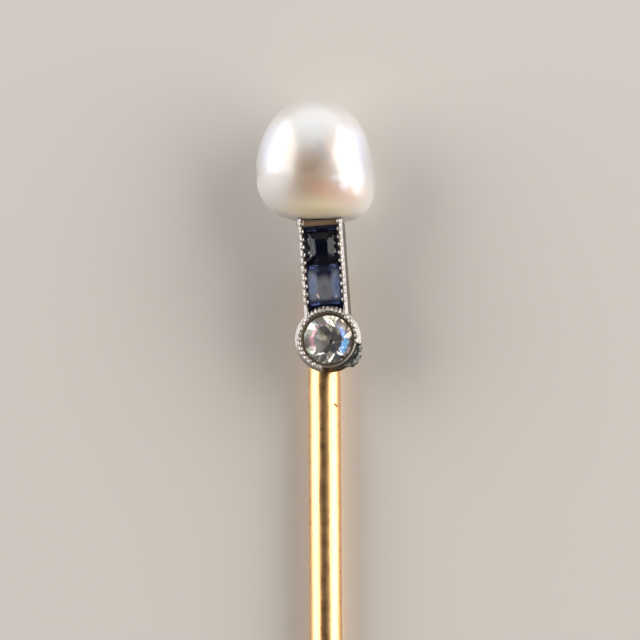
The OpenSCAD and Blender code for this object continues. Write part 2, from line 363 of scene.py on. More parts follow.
# Sections of the pearl from its base to its top: height is a share of its height, left and right are shares
# of half its width, and front and back are shares of half its depth
# height, left, right, front, back
PEARL_ROWS = np.array([
    (0.000, 0.26, 0.50, 0.36, 0.36),
    (0.020, 0.42, 0.71, 0.56, 0.56),
    (0.067, 0.68, 0.85, 0.76, 0.77),
    (0.150, 0.86, 0.96, 0.90, 0.91),
    (0.250, 0.96, 1.00, 0.97, 0.98),
    (0.370, 0.99, 0.99, 1.00, 1.00),
    (0.480, 1.00, 0.96, 0.99, 0.99),
    (0.590, 0.96, 0.92, 0.95, 0.94),
    (0.690, 0.89, 0.86, 0.88, 0.87),
    (0.780, 0.80, 0.76, 0.78, 0.77),
    (0.860, 0.67, 0.64, 0.66, 0.65),
    (0.925, 0.52, 0.48, 0.50, 0.50),
    (0.970, 0.36, 0.32, 0.34, 0.34),
    (0.993, 0.18, 0.15, 0.16, 0.16),
    (1.000, 0.00, 0.00, 0.00, 0.00),
])
# Sides of each ring of the pearl's mesh, and rings for each row of the table
PEARL_SIDES = 192
PEARL_STEPS = 9
# The waves of its skin: their height and length. Its base, up to this share of its height, is cut flat.
SKIN_WAVE = 0.006 * MM
SKIN_WAVE_LENGTH = 1.1 * MM
CUT_BASE = 0.02

# Dents and bumps that the nacre grew over, on the front: across and up are shares of half the width and
# height from the middle, and radius and rise are in millimetres
# across, up, radius, rise
PEARL_BUMPS = [
    (0.62, -0.42, 0.22, 0.016),
    (0.74, -0.50, 0.16, -0.012),
    (0.52, -0.56, 0.24, -0.014),
    (0.40, -0.44, 0.20, 0.010),
    (0.22, -0.05, 0.34, -0.016),
    (0.30, 0.20, 0.40, 0.010),
    (0.60, 0.78, 0.04, 0.070),
    (-0.99, -0.40, 0.04, -0.030),
    (-0.97, -0.47, 0.04, -0.030),
]


def pearl_row(i):
    """A row of the pearl's table, with one more past each end that keeps both ends smooth."""
    if i < 0:
        return 2 * PEARL_ROWS[0] - PEARL_ROWS[1]
    if i < len(PEARL_ROWS):
        return PEARL_ROWS[i]
    return PEARL_ROWS[-2] * np.array([1, -1, -1, -1, -1])


def pearl_section(place):
    """The pearl's section at a fractional place in its table, on a smooth curve through the rows."""
    i = min(int(place), len(PEARL_ROWS) - 2)
    t = place - i
    a, b, c, d = (pearl_row(i + k) for k in (-1, 0, 1, 2))
    return b + 0.5 * t * ((c - a) + t * ((2 * a - 5 * b + 4 * c - d) + t * (3 * (b - c) + d - a)))


def pearl_points(looks, size):
    """The pearl's points, from the end of its hole over its base to its top, and how many rings they form."""
    turn = (np.arange(PEARL_SIDES) + 0.5) * 2 * np.pi / PEARL_SIDES
    cos, sin = np.cos(turn), np.sin(turn)
    hole = [np.stack([looks.peg_radius * cos, np.full_like(cos, y), looks.peg_radius * sin], axis=1)
            for y in (looks.peg_depth, 0)]
    rings = []
    count = (len(PEARL_ROWS) - 1) * PEARL_STEPS
    for k in range(count):
        height, left, right, front, back = pearl_section(k / PEARL_STEPS)
        ridge = looks.ridge * front
        reach = np.where(cos > 0, right * size.x / 2 - ridge, left * size.x / 2 + ridge)
        deep = np.where(sin > 0, front, back) * size.z / 2
        y = np.full_like(cos, height * size.y)
        rings.append(np.stack([ridge + cos * reach, y, sin * deep], axis=1))
    hole_end, top = np.array([[0, looks.peg_depth, 0]]), np.array([[0, size.y, 0]])
    return np.concatenate([hole_end, *hole, *rings, top]), count + len(hole)


def build_pearl(looks):
    """The pearl, rounder than the faceted node that it stands for, with the small dents that the nacre grew
    over."""
    size = extent("pearl")
    points, rings = pearl_points(looks, size)
    pearl = mesh_object("pearl_nacre", points, rings_to_faces(rings, PEARL_SIDES))
    normals = normals_of(pearl.data)
    rise = np.zeros(len(points))
    for across, up, radius, height in PEARL_BUMPS:
        off = np.stack([points[:, 0] - across * size.x / 2, points[:, 1] - (1 + up) * size.y / 2], axis=1)
        near = np.exp(-(off ** 2).sum(1) / (2 * (radius * MM) ** 2))
        rise += height * MM * near * (points[:, 2] > 0)
    skin = points[:, 1] > CUT_BASE * size.y
    rise += np.where(skin, SKIN_WAVE * ripple(points, SKIN_WAVE_LENGTH, 1), 0)
    points = points + normals * rise[:, None]
    turned = points @ np.array(Matrix.Rotation(looks.turn, 3, "Z")).T
    box_middle = (turned.min(0) + turned.max(0)) / 2
    move_points(pearl.data, turned - box_middle + np.array(middle("pearl")))
    return pearl


# Place and reach of the pearl's patches in depth, as shares of half its depth, so that they stay on its front
PATCH_FRONT, PATCH_DEPTH = 0.9, 1.1
# Patches of colour on the front of the pearl, its own tones and painted light and shade: across and up are
# shares of half its width and height from the middle, reach is in the same shares, and strength is how much
# of the patch's colour shows
# across, up, reach across, reach up, colour, strength
PEARL_TONES_AND_PAINTED_LIGHT = [
    # Painted sheen: a bluish outer edge to the highlights on the left and the right
    (-0.78, 0.20, 0.32, 0.80, "#CCD0E4", 0.80),
    (0.80, 0.10, 0.34, 0.90, "#CDCFE6", 0.80),
    # Painted sheen: a cream and a rose inner edge to the same highlights
    (-0.36, 0.16, 0.20, 0.60, "#E6D2B4", 0.60),
    (0.30, 0.00, 0.18, 0.60, "#E6CDBE", 0.60),
    # The tan middle: partly the nacre's own tone, partly painted shade
    (-0.02, -0.45, 0.60, 0.78, "#A8896A", 0.85),
    (0.26, -0.66, 0.55, 0.34, "#D09A7C", 0.65),
    (0.10, -1.00, 1.30, 0.46, "#EEDDB2", 0.90),
    # Painted highlight: a white glow at the top
    (0.00, 0.46, 0.62, 0.56, "#F2F4F6", 0.90),
    (0.66, -0.62, 0.44, 0.40, "#C79F84", 0.70),
    # Painted shade at the left and the right rims
    (-1.05, 0.10, 0.30, 1.10, "#9A979A", 0.70),
    (1.05, 0.05, 0.34, 1.20, "#6A6664", 0.90),
    # Painted reflection: a small bluish grey patch near the middle
    (0.16, 0.06, 0.14, 0.20, "#A6A6B6", 0.30),
    (0.24, -0.08, 0.16, 0.12, "#A2A2B4", 0.35),
    # Painted highlights on the bumps low on the right
    (0.42, -0.42, 0.14, 0.09, "#E6E8F2", 0.60),
    (0.54, -0.55, 0.13, 0.11, "#E2E5F2", 0.60),
    (0.66, -0.42, 0.12, 0.12, "#E6E8F2", 0.60),
    (0.80, -0.38, 0.10, 0.22, "#E0E4F2", 0.60),
]


def nacre_material(looks):
    """Nacre, grown in thin layers over the shell's bead. It gives the eye a soft wide lustre under a sharper
    skin, a little depth and cream to rose patches. Painted into its colour are a bluish and a cream edge to
    its highlights, a white highlight at the top and small ones on its bumps, a reflection near the middle,
    and shade at its rims and over part of its tan middle."""
    material, tree, output = new_material("nacre_grown_in_layers")
    size, centre = extent("pearl"), middle("pearl")
    where = add_node(tree, "ShaderNodeTexCoord").outputs["Object"]
    off = add_node(tree, "ShaderNodeVectorMath", {0: where, 1: centre}, operation="SUBTRACT").outputs[0]
    share = add_node(tree, "ShaderNodeVectorMath", {0: off, 1: size / 2}, operation="DIVIDE").outputs[0]
    colour = (*looks.body, 1)
    # The nacre's own tones and the painted light and shade are laid over its body colour
    for across, up, reach_across, reach_up, shade, strength in PEARL_TONES_AND_PAINTED_LIGHT:
        mask = patch(tree, share, (across, up, PATCH_FRONT), (reach_across, reach_up, PATCH_DEPTH))
        amount = add_node(tree, "ShaderNodeMath", {0: mask, 1: strength}, operation="MULTIPLY").outputs[0]
        colour = mix_colour(tree, amount, colour, (*linear(shade), 1))
    growth = add_node(tree, "ShaderNodeTexNoise", {
        "Vector": where, "Scale": 1 / (0.35 * MM), "Detail": 3.0}).outputs["Fac"]
    # The lustre ends low on the pearl at a wavy line, and reaches further down on the right
    parts = add_node(tree, "ShaderNodeSeparateXYZ", {0: share})
    wavy = add_node(tree, "ShaderNodeTexNoise", {
        "Vector": where, "Scale": 1 / (0.9 * MM), "Detail": 2.0}).outputs["Fac"]
    edge = add_node(tree, "ShaderNodeMath", {0: wavy, 1: 0.5, 2: parts.outputs["Y"]},
                    operation="MULTIPLY_ADD").outputs[0]
    tail = add_node(tree, "ShaderNodeMapRange", {
        "Value": parts.outputs["X"], "From Min": 0.25, "From Max": 0.7, "To Max": 0.34}).outputs[0]
    edge = add_node(tree, "ShaderNodeMath", {0: edge, 1: tail}, operation="ADD").outputs[0]
    lustre = add_node(tree, "ShaderNodeMapRange", {
        "Value": edge, "From Min": -0.18, "From Max": 0.04}, interpolation_type="SMOOTHSTEP").outputs[0]
    roughness = add_node(tree, "ShaderNodeMapRange", {
        "Value": lustre, "To Min": 0.55, "To Max": 0.34}).outputs[0]
    coat = add_node(tree, "ShaderNodeMapRange", {"Value": lustre, "To Min": 0.15}).outputs[0]
    bump = add_node(tree, "ShaderNodeBump", {"Strength": 0.25, "Distance": 0.004 * MM, "Height": growth})
    shader = add_node(tree, "ShaderNodeBsdfPrincipled", {
        "Base Color": colour, "Roughness": roughness, "IOR": 2.1, "Subsurface Weight": 0.2,
        "Subsurface Radius": (1.0, 0.8, 0.6), "Subsurface Scale": 0.25 * MM,
        "Coat Weight": coat, "Coat Roughness": 0.2, "Coat IOR": 1.8, "Normal": bump.outputs[0]})
    tree.links.new(shader.outputs[0], output.inputs["Surface"])
    return material


# Setting

# The head's own places, in millimetres from the bezel's middle: reaches are across the bar or round the
# bezel, ups are along the bar, and angles are in degrees from the right towards the pearl
CHANNEL_REACH = 0.69
RAIL_ROW_OUTER = 0.79
BEZEL_HOLE = 1.1
BEZEL_ROW_OUTER = 1.21
BAR_START = 1.3
# The channel ends at the wall under the pearl, which is painted light brown between two heights as the
# pearl's reflection and shadow on it
END_WALL = 4.48
END_PAINTED_BAND = (4.67, 4.9)
# The beads at the bezel's top run out over its rim as teeth: angles of the first and the last and how many,
# and the radii that they lie between
BEZEL_TEETH = (56, 124, 10)
TEETH_REACH = (1.17, 1.37)
# The beads are worn away between these angles, and the outer wall there is painted dark as shade
WORN_SIDE = (-112, -10)
# The lump of solder: the angle of its middle, how far it goes to each side, and the radius where it starts
SOLDER_PLACE = (-38, 27, 1.16)
# Unevenness of the plain metal, and what the solder and the beads add to it
UNEVEN = 0.004
UNEVEN_SOLDER = 0.035
UNEVEN_BEAD = 0.032
# The two kinds of waves that make it up: a share of its height, and their length
METAL_WAVES = [(1.0, 0.16), (0.5, 0.07)]
# How far the rubbed beads stand out over the node's own
BEAD_RISE = 0.03


def fade(values, none_at, full_at):
    """0 to 1 as the values go from one place to another."""
    return np.clip((values - none_at) / (full_at - none_at), 0, 1)


def bezel_teeth(angle, radius, above):
    """1 on the teeth at the bezel's top and 0 between them and elsewhere."""
    first, last, count = BEZEL_TEETH
    inner, outer = TEETH_REACH
    middle_angle, half = (first + last) / 2, (last - first) / 2
    tooth = 0.5 + 0.5 * np.cos(np.radians((angle - first) / (last - first) * (count - 1) * 360))
    tooth = tooth * fade(np.abs(angle - middle_angle), half + 4, half + 2)
    tooth = tooth * fade(radius, inner, inner + 0.04) * fade(radius, outer, outer - 0.05)
    return tooth * fade(above, -0.14, -0.08)


def build_setting(looks):
    """The soldered white metal: the node's own form with its joints blended, worn smooth and a little uneven.
    Its wear, dirt and painted light and shade are marked on it for the material."""
    mesh = node_mesh_mm("setting", "setting_platinum")
    setting = worked(mesh, "setting_platinum", [
        ("REMESH", {"mode": "VOXEL", "voxel_size": looks.voxel / MM}),
        ("SMOOTH", {"factor": 0.5, "iterations": 2}),
    ])
    setting.data.polygons.foreach_set("use_smooth", [True] * len(setting.data.polygons))
    points = points_of(setting.data)
    across, up, above = in_head(points).T
    radius = np.hypot(across, up)
    angle = np.degrees(np.arctan2(up, across))
    solder_angle, solder_span, solder_start = SOLDER_PLACE
    solder = fade(np.abs(angle - solder_angle), solder_span, solder_span - 6)
    solder = solder * fade(radius, solder_start, solder_start + 0.06) * fade(above, -0.02, -0.1)
    teeth = bezel_teeth(angle, radius, above)
    bead = np.maximum(fade(above, -0.01, 0.03), teeth)
    rough = UNEVEN + UNEVEN_SOLDER * solder + UNEVEN_BEAD * bead
    rise = np.zeros(len(points))
    for seed, (share, length) in enumerate(METAL_WAVES, start=3):
        rise += share * rough * ripple(points, length * MM, seed)
    rise += BEAD_RISE * bead
    move_points(setting.data, points + normals_of(setting.data) * (rise * MM)[:, None])
    for name, values in wear_and_shade_marks(setting.data, across, up, above, solder, bead, teeth).items():
        attribute = setting.data.attributes.new(name, "FLOAT", "POINT")
        attribute.data.foreach_set("value", values.astype(np.float32))
    return setting


def wear_and_shade_marks(mesh, across, up, above, solder, bead, teeth):
    """How far each point of the setting is solder, bead, dirt, painted light and shade and so on, from 0 to
    1.
    The numbers are the places of soft edges, in millimetres, degrees or shares."""
    radius = np.hypot(across, up)
    angle = np.degrees(np.arctan2(up, across))
    aside = np.abs(across)
    on_bar = up > BAR_START
    facing = in_head(np.array([BEZEL.x, BEZEL.y, FACE_Z]) + normals_of(mesh) * MM)
    outward = fade((facing[:, 0] * across + facing[:, 1] * up) / radius, 0.1, 0.3)
    in_channel = on_bar & (aside < CHANNEL_REACH)
    channel_foot = (aside < CHANNEL_REACH) & (up > 0) & (up < END_WALL)
    past_beads = fade(radius, BEZEL_ROW_OUTER, BEZEL_ROW_OUTER + 0.04)
    worn = fade(angle, WORN_SIDE[1], WORN_SIDE[1] - 8) * fade(angle, WORN_SIDE[0], WORN_SIDE[0] + 12)
    rail_row = on_bar & (aside > CHANNEL_REACH) & (aside < RAIL_ROW_OUTER - 0.03)
    bezel_row = ~on_bar & (worn < 0.5) & (radius > BEZEL_HOLE - 0.01) & (radius < BEZEL_ROW_OUTER - 0.05)
    band_low, band_high = END_PAINTED_BAND
    navy_shade_by_wall = fade(up, END_WALL - 0.08, END_WALL - 0.02) * fade(up, band_low, band_low - 0.05)
    navy_shade_low = channel_foot * fade(above, -0.12, -0.2) * past_beads
    between_beads = (rail_row | bezel_row) * fade(above, 0.045, 0.01) * fade(above, -0.2, -0.15)
    plain_rim = np.where(on_bar, aside > RAIL_ROW_OUTER + 0.03, radius > BEZEL_ROW_OUTER + 0.03)
    return {
        # Rubbed tops of the beads and the teeth, painted lighter as a highlight
        "bead": bead,
        # Painted reflection and shadow of the pearl on the wall under it
        "end": in_channel * fade(up, band_low - 0.05, band_low) * fade(up, band_high, band_high - 0.06),
        # Painted shade: the navy shadow of the blue stones, by the wall under the pearl and low in the
        # channel
        "foot": in_channel * navy_shade_by_wall + navy_shade_low,
        # The olive film in the bezel's hollow, darkened as painted shade
        "hollow": fade(radius, BEZEL_HOLE - 0.03, BEZEL_HOLE - 0.06) * fade(above, 0, -0.03),
        "notch": between_beads + channel_foot * past_beads * (1 - teeth),
        "rim": plain_rim * (1 - bead),
        "solder": solder,
        # Painted shade on the low outer walls
        "wall": fade(above, -0.14, -0.24) * np.where(on_bar, aside > RAIL_ROW_OUTER + 0.01, outward),
        # Painted shade on the outward walls of the worn side
        "worn": worn * outward * fade(above, -0.02, -0.08),
    }


# Shades of the speckled solder, under and over its own colour
SOLDER_DARK = "#454946"
SOLDER_LIGHT = "#A39893"


def platinum_material(looks):
    """Platinum, cast, hand-finished and worn: a bright grey-white polish with fine scratches, brown old
    polish with painted shade in the corners, an olive film inside the bezel that is darkened as painted shade
    and a duller lump of solder. Painted highlights lighten the tops of the beads, painted shade darkens the
    low outer walls and the worn side and colours the channel's floor navy, and the wall under the pearl
    carries its painted reflection and shadow. The scratches are drawn wider than real ones, which wouldn't
    show."""
    material, tree, output = new_material("platinum_hand_finished")
    where = add_node(tree, "ShaderNodeTexCoord").outputs["Object"]
    marks = {name: add_node(tree, "ShaderNodeAttribute", attribute_name=name).outputs["Fac"]
             for name in ("bead", "end", "foot", "hollow", "notch", "rim", "solder", "wall", "worn")}
    # Painted shade: where the ambient occlusion finds a corner, the metal is painted dark brown with the old
    # polish
    open_sky = add_node(tree, "ShaderNodeAmbientOcclusion", {"Distance": 0.16 * MM}, samples=8,
                        only_local=True).outputs["AO"]
    corner_shade = add_node(tree, "ShaderNodeMapRange", {"Value": open_sky, "From Min": 0.75, "From Max": 0.25},
                      interpolation_type="SMOOTHSTEP").outputs[0]
    speckle = add_node(tree, "ShaderNodeTexNoise", {
        "Vector": where, "Scale": 1 / (0.11 * MM), "Detail": 2.0}).outputs["Fac"]
    lump = add_node(tree, "ShaderNodeValToRGB", {"Fac": speckle}, stops=[
        (0.36, linear(SOLDER_DARK)), (0.5, looks.solder), (0.66, linear(SOLDER_LIGHT))]).outputs[0]
    colour = (*looks.metal, 1)
    # The marks laid over clean platinum, with painted highlights, painted shade and the pearl's painted
    # reflection among them
    for mark, shade in (
            (marks["rim"], looks.rim), (marks["wall"], looks.wall), (marks["bead"], looks.bead),
            (corner_shade, looks.polish_and_corner_shade), (marks["notch"], looks.notch), (marks["hollow"], looks.tarnish_and_shade),
            (marks["foot"], looks.foot), (marks["end"], looks.end), (marks["worn"], looks.worn)):
        colour = mix_colour(tree, mark, colour, (*shade, 1))
    colour = mix_colour(tree, marks["solder"], colour, lump)
    scratch = add_node(tree, "ShaderNodeTexNoise", {
        "Vector": where, "Scale": 1 / (0.05 * MM), "Detail": 4.0}).outputs["Fac"]
    polish = add_node(tree, "ShaderNodeMapRange", {
        "Value": scratch, "From Min": 0.3, "From Max": 0.7, "To Min": 0.3, "To Max": 0.48}).outputs[0]
    dull = marks["hollow"]
    for name in ("worn", "notch"):
        dull = add_node(tree, "ShaderNodeMath", {0: dull, 1: marks[name]}, operation="MAXIMUM").outputs[0]
    roughness = add_node(tree, "ShaderNodeMix", {0: dull, 2: polish, 3: 0.6}).outputs[0]
    bump = add_node(tree, "ShaderNodeBump", {"Strength": 0.35, "Distance": 0.004 * MM, "Height": scratch})
    shader = add_node(tree, "ShaderNodeBsdfPrincipled", {
        "Base Color": colour, "Metallic": 1.0, "Roughness": roughness, "Normal": bump.outputs[0]})
    tree.links.new(shader.outputs[0], output.inputs["Surface"])
    return material


# Stones

# How far wear has rubbed the edges of the two sapphires' facets
UPPER_RUB = 0.024 * MM
LOWER_RUB = 0.012 * MM


def build_cut_stone(node, name, rub):
    """A cut stone with the node's own facets, flat, with their edges rubbed by a hair. Faces within half a
    degree are one facet, and edges flatter than four degrees stay sharp."""
    mesh = node_mesh_mm(node, name)
    work = bmesh.new()
    work.from_mesh(mesh)
    bmesh.ops.dissolve_limit(work, angle_limit=math.radians(0.5), verts=work.verts, edges=work.edges)
    work.to_mesh(mesh)
    work.free()
    stone = worked(mesh, name, [("BEVEL", {
        "width": rub / MM, "segments": 1, "limit_method": "ANGLE", "angle_limit": math.radians(4)})])
    stone.data.polygons.foreach_set("use_smooth", [False] * len(stone.data.polygons))
    return stone


def stone_share(tree, node):
    """The place in a stone as shares of half its size, across and along the bar."""
    where = add_node(tree, "ShaderNodeTexCoord").outputs["Object"]
    off = add_node(tree, "ShaderNodeVectorMath", {0: where, 1: middle(node)}, operation="SUBTRACT").outputs[0]
    straight = add_node(tree, "ShaderNodeVectorRotate", {"Vector": off, "Angle": -HEAD_LEAN}).outputs[0]
    share = add_node(tree, "ShaderNodeVectorMath", {0: straight, 1: extent(node) / 2}, operation="DIVIDE")
    return share.outputs[0]


# The facets of the old-cut diamond. Each row is cut all round: count is how many facets, turned is a share of
# the step between them, slope is the lean of the facet from flat in degrees (negative below the girdle, with
# -180 for flat), and the facet's plane passes through a point at that radius and height, as shares of the
# girdle's radius
# count, turned, slope, radius, height
DIAMOND_CUTS = [
    (1, 0.0, 0.0, 0.0, 0.294),
    (8, 0.0, 32.1, 1.0, 0.02),
    (8, 0.5, 20.0, 0.58, 0.294),
    (16, 0.5, 39.0, 1.0, 0.02),
    (32, 0.5, 90.0, 1.0, 0.0),
    (8, 0.0, -43.9, 1.0, -0.02),
    (16, 0.5, -45.0, 1.0, -0.02),
    (1, 0.0, -180.0, 0.0, -0.91),
]
DIAMOND_TURN = math.radians(20.8)
# How far the culet lies off the middle, right and up, for each step down
CULET_LEAN = (0.11, -0.05)
GIRDLE_BELOW_FACE = 0.32 * MM


def build_diamond():
    """The diamond, cut from a block facet by facet as a cutter does. Its girdle has a radius of 1 until it is
    put in its place."""
    radius = extent("diamond").x / 2
    work = bmesh.new()
    bmesh.ops.create_cube(work, size=2.4)
    for count, turned, slope, out, height in DIAMOND_CUTS:
        for k in range(count):
            turn = (k + turned) * 2 * math.pi / count + DIAMOND_TURN
            cos, sin = math.cos(turn), math.sin(turn)
            lean = math.radians(abs(slope))
            aside = math.sin(lean)
            facing = Vector((cos * aside, sin * aside, math.copysign(math.cos(lean), slope)))
            point = Vector((cos * out, sin * out, height))
            cut = bmesh.ops.bisect_plane(
                work, geom=work.verts[:] + work.edges[:] + work.faces[:], dist=1e-6,
                plane_co=point, plane_no=facing, clear_outer=True)
            rim = [edge for edge in cut["geom_cut"] if isinstance(edge, bmesh.types.BMEdge)]
            if rim:
                bmesh.ops.edgeloop_fill(work, edges=rim)
    for vertex in work.verts:
        down = max(0, -vertex.co.z)
        vertex.co.x += CULET_LEAN[0] * down
        vertex.co.y += CULET_LEAN[1] * down
    bmesh.ops.recalc_face_normals(work, faces=work.faces)
    mesh = bpy.data.meshes.new("old_cut_stone")
    work.to_mesh(mesh)
    work.free()
    centre = Vector((BEZEL.x, BEZEL.y, FACE_Z - GIRDLE_BELOW_FACE))
    mesh.transform(Matrix.Translation(centre) @ Matrix.Scale(radius, 4))
    mesh.polygons.foreach_set("use_smooth", [False] * len(mesh.polygons))
    stone = bpy.data.objects.new("old_cut_stone", mesh)
    bpy.context.scene.collection.objects.link(stone)
    return stone


# Place and reach of a stone's patches in depth, as shares of half its depth
CLOUD_FRONT, CLOUD_DEPTH = 0.8, 2.0
# Patches in the lower sapphire that scatter light, listed as the pearl's patches are, where strength is how
# far
# each scatters light: a scuff on its table with a painted reflection, painted reflections at its sides,
# painted shade round it and three painted glints
# across, up, reach across, reach up, colour, strength
LOWER_SAPPHIRE_SCUFFS_AND_PAINTED_LIGHT = [
    # A scuff on the table, painted grey as a reflection
    (0.02, -0.25, 0.72, 0.90, "#909096", 0.40),
    # Painted reflections: light blue bands at the sides
    (-0.66, -0.05, 0.46, 1.15, "#9DB0D6", 0.42),
    (0.68, -0.05, 0.40, 1.15, "#8FA4CE", 0.38),
    # Painted shade: a navy frame at the ends and the sides
    (0.0, 1.15, 2.60, 0.66, "#16265E", 0.04),
    (0.0, -1.15, 2.60, 0.58, "#16265E", 0.04),
    (-1.15, 0.0, 0.32, 3.00, "#16265E", 0.04),
    (1.15, 0.0, 0.32, 3.00, "#16265E", 0.04),
    # Painted glints: orange, white and pale blue
    (-0.40, -0.50, 0.09, 0.12, "#FFC89A", 0.85),
    (-0.34, -0.60, 0.06, 0.07, "#FFFFFF", 0.90),
    (0.62, -0.62, 0.07, 0.06, "#E8F2FF", 0.80),
]
# Painted glints along the left edge of the upper sapphire, and one on its right, listed alike
UPPER_PAINTED_GLINTS = [
    (-0.71, 0.44, 0.08, 0.09, "#FFFFFF", 0.90),
    (-0.70, 0.32, 0.05, 0.06, "#FFFFFF", 0.80),
    (-0.72, -0.26, 0.09, 0.10, "#FFFFFF", 0.90),
    (-0.64, -0.42, 0.07, 0.11, "#FFFFFF", 0.90),
    (0.72, -0.30, 0.05, 0.10, "#E8F0FF", 0.80),
]
# Rubbed facets round the diamond's table that scatter light, with painted highlights in them that whiten the
# crown most at the top and the top right, listed alike
DIAMOND_RUBS_AND_PAINTED_HIGHLIGHTS = [
    (-0.70, -0.20, 0.60, 1.10, "#DCDCDC", 0.34),
    # Painted highlights at the top and the top right
    (-0.10, 0.85, 0.70, 0.40, "#F6F0E8", 0.30),
    (0.60, 0.50, 0.42, 0.42, "#FFF4EA", 0.45),
    (0.85, 0.00, 0.40, 0.50, "#D8DAE0", 0.26),
]


def sapphire_material(name, left, density, roughness, gloss):
    """Sapphire, step-cut and polished: glass-like with a flash at its surface that wear has dulled to gloss,
    and a colour that deepens with the way that light takes through it."""
    material, tree, output = new_material(name)
    shader = add_node(tree, "ShaderNodeBsdfPrincipled", {
        "Base Color": (1, 1, 1, 1), "Roughness": roughness, "IOR": 1.77, "Transmission Weight": 1.0,
        "Specular Tint": (gloss, gloss, gloss, 1)})
    depth = add_node(tree, "ShaderNodeVolumeAbsorption", {"Color": (*left, 1), "Density": density})
    tree.links.new(shader.outputs[0], output.inputs["Surface"])
    tree.links.new(depth.outputs[0], output.inputs["Volume"])
    return material


def add_scatter_and_painted_light(material, node, clouds):
    """Lets a stone scatter some light in patches of colour: scuffs, rubbed facets and painted reflections,
    highlights, glints and shade.
    """
    tree = material.node_tree
    shader = tree.nodes["Principled BSDF"]
    share = stone_share(tree, node)
    colour, haze = (1, 1, 1, 1), 0.0
    for across, up, reach_across, reach_up, shade, strength in clouds:
        mask = patch(tree, share, (across, up, CLOUD_FRONT), (reach_across, reach_up, CLOUD_DEPTH))
        colour = mix_colour(tree, mask, colour, (*linear(shade), 1))
        haze = add_node(tree, "ShaderNodeMix", {0: mask, 2: haze, 3: strength}).outputs[0]
    clear = add_node(tree, "ShaderNodeMath", {0: 1.0, 1: haze}, operation="SUBTRACT").outputs[0]
    tree.links.new(colour, shader.inputs["Base Color"])
    tree.links.new(clear, shader.inputs["Transmission Weight"])


def diamond_material(looks):
    """Diamond, old-cut, worn and filmed with oil: it bends light hard, so each facet shows another part of
    the room, softened by wear, and the film, thicker to the right, lends it flashes of orange, pink and
    blue."""
    material, tree, output = new_material("diamond_old_cut")
    where = add_node(tree, "ShaderNodeTexCoord").outputs["Object"]
    across = add_node(tree, "ShaderNodeSeparateXYZ", {0: where}).outputs["X"]
    reach = extent("diamond").x / 2
    film = add_node(tree, "ShaderNodeMapRange", {
        "Value": across, "From Min": BEZEL.x - reach, "From Max": BEZEL.x + reach,
        "To Min": looks.film_left, "To Max": looks.film_right}).outputs[0]
    shader = add_node(tree, "ShaderNodeBsdfPrincipled", {
        "Base Color": (1, 1, 1, 1), "Roughness": 0.12, "IOR": 2.417, "Transmission Weight": 1.0,
        "Thin Film Thickness": film, "Thin Film IOR": 1.45})
    tree.links.new(shader.outputs[0], output.inputs["Surface"])
    return material


# Stem

STEM_SIDES = 96
# Rings lie this far apart in the stretch that the photograph shows, from this place up, and elsewhere
FINE_STEP = 0.1 * MM
COARSE_STEP = 0.6 * MM
SHOWN_FROM = 8 * MM
# Depth and length across of the two kinds of waves in the drawn wire, in millimetres, and their length across
# as a share of that along it
WIRE_WAVES = [(0.003, 0.3), (0.001, 0.12)]
DRAWN_OUT = 0.12


def stem_outline(looks):
    """The stem's places along Y with its radii, from the point to the filed end, and both ends, in metres."""
    low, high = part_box("stem")
    foot = low.y + looks.taper
    top = high.y - looks.end_length
    tip_turn = np.linspace(0.1, 1, 8) * np.pi / 2
    tip = [(low.y + looks.tip_radius * (1 - math.cos(a)), looks.tip_radius * math.sin(a)) for a in tip_turn]
    taper = np.linspace(low.y + looks.tip_radius, foot, 60)[1:]
    rows = tip + [(y, np.interp(y, [low.y, foot], [looks.tip_radius, STEM_RADIUS])) for y in taper]
    rows += [(y, STEM_RADIUS) for y in np.arange(foot + COARSE_STEP, SHOWN_FROM, COARSE_STEP)]
    rows += [(y, STEM_RADIUS) for y in np.arange(SHOWN_FROM, top, FINE_STEP)]
    filed = np.linspace(top, high.y, 12)
    rows += [(y, np.interp(y, [top, high.y], [STEM_RADIUS, looks.end_radius])) for y in filed]
    return np.array(rows), low.y, high.y


# Burrs that the file left on the left side of the stem: along is the distance below the bezel's middle, and
# reach and rise are their radius and height, all in millimetres
# along, reach, rise
STEM_BURRS = [
    (2.35, 0.07, 0.050),
    (2.95, 0.09, 0.030),
    (1.60, 0.10, 0.015),
]
# A nick in the right side of the stem, painted dark as spots in a row with no dent in the mesh: across and
# along are from the bezel's middle
# across, along, reach
STEM_NICK = [
    (0.44, 2.44, 0.08),
    (0.48, 2.48, 0.09),
    (0.52, 2.52, 0.09),
]


def build_stem(looks):
    """The stem as drawn and filed wire: a round bar with a long taper, very slightly uneven."""
    rows, low_y, high_y = stem_outline(looks)
    turn = np.arange(STEM_SIDES) * 2 * np.pi / STEM_SIDES
    rings = [np.stack([r * np.cos(turn), np.full_like(turn, y), STEM_RADIUS + r * np.sin(turn)], axis=1)
             for y, r in rows]
    points = np.concatenate([[(0, low_y, STEM_RADIUS)], *rings, [(0, high_y, STEM_RADIUS)]])
    stem = mesh_object("stem_gold", points, rings_to_faces(len(rows), STEM_SIDES))
    normals = normals_of(stem.data)
    drawn = points * np.array([1, DRAWN_OUT, 1])
    rise = np.zeros(len(points))
    for seed, (depth, length) in enumerate(WIRE_WAVES, start=7):
        rise -= depth * (1 + ripple(drawn, length * MM, seed))
    for along, reach, height in STEM_BURRS:
        off = points / MM - np.array([-STEM_RADIUS / MM, BEZEL.y / MM - along, STEM_RADIUS / MM])
        rise += height * np.exp(-(off ** 2).sum(1) / (2 * (reach / 2) ** 2))
    move_points(stem.data, points + normals * (rise * MM)[:, None])
    return stem


